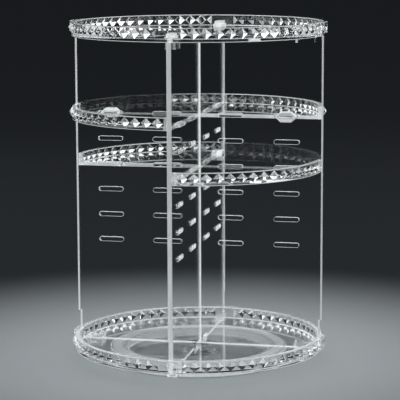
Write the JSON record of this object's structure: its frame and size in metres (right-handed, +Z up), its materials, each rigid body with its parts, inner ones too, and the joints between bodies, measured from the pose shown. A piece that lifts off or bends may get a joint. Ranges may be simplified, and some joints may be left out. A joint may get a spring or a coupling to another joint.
{
  "type": "rotating cosmetics organizer",
  "caption": "Clear turning cosmetics tower: round base and top trays with diamond-cut walls, crossed slotted panels and hooked quarter trays on a ball-race foot.",
  "frame": {"origin": "on the table under the turning axis, at the bottom centre of the bounding box", "axes": "+Z up along the turning axis, +X along the wide panel, +Y along the cross panel towards the back"},
  "size_m": [0.23, 0.23, 0.306],
  "materials": {
    "clear_tray": "crystal-clear moulded styrene, polished",
    "clear_panel": "crystal-clear moulded styrene, polished",
    "clear_foot": "clear moulded styrene",
    "clip_plastic": "clear moulded plastic, slightly milky",
    "race_plastic": "frosted natural acetal",
    "ball_steel": "polished steel",
    "screw_steel": "zinc-plated steel",
    "pad_rubber": "grey translucent silicone"
  },
  "bodies": {
    "foot": {"foot_disc": "clear_foot", "foot_pads": "pad_rubber"},
    "ball_race": {"ball_cage": "race_plastic", "bearing_balls": "ball_steel"},
    "tower": {"base_tray": "clear_tray", "upper_race": "race_plastic", "pivot_washer": "screw_steel", "pivot_screw": "screw_steel", "wide_panel": "clear_panel", "cross_panel": "clear_panel", "shelf_back_right": "clear_tray", "shelf_back_left": "clear_tray", "shelf_front_left": "clear_tray", "shelf_front_right": "clear_tray", "lock_clip_back_right": "clip_plastic", "lock_clip_back_left": "clip_plastic", "lock_clip_front_left": "clip_plastic", "lock_clip_front_right": "clip_plastic"},
    "top": {"top_tray": "clear_tray"}
  },
  "joints": [
    {"name": "tower_spin", "type": "hinge", "parent": "foot", "child": "tower", "pos_m": [0, 0, 0], "axis": [0, 0, 1], "continuous": true},
    {"name": "ball_race_spin", "type": "hinge", "parent": "foot", "child": "ball_race", "pos_m": [0, 0, 0], "axis": [0, 0, 1], "continuous": true},
    {"name": "top_tray_lift", "type": "slide", "parent": "tower", "child": "top", "axis": [0, 0, 1], "range_m": [0, 0.03]}
  ],
  "couplings": [
    {"joint": "ball_race_spin", "follows": "tower_spin", "ratio": 0.5}
  ]
}
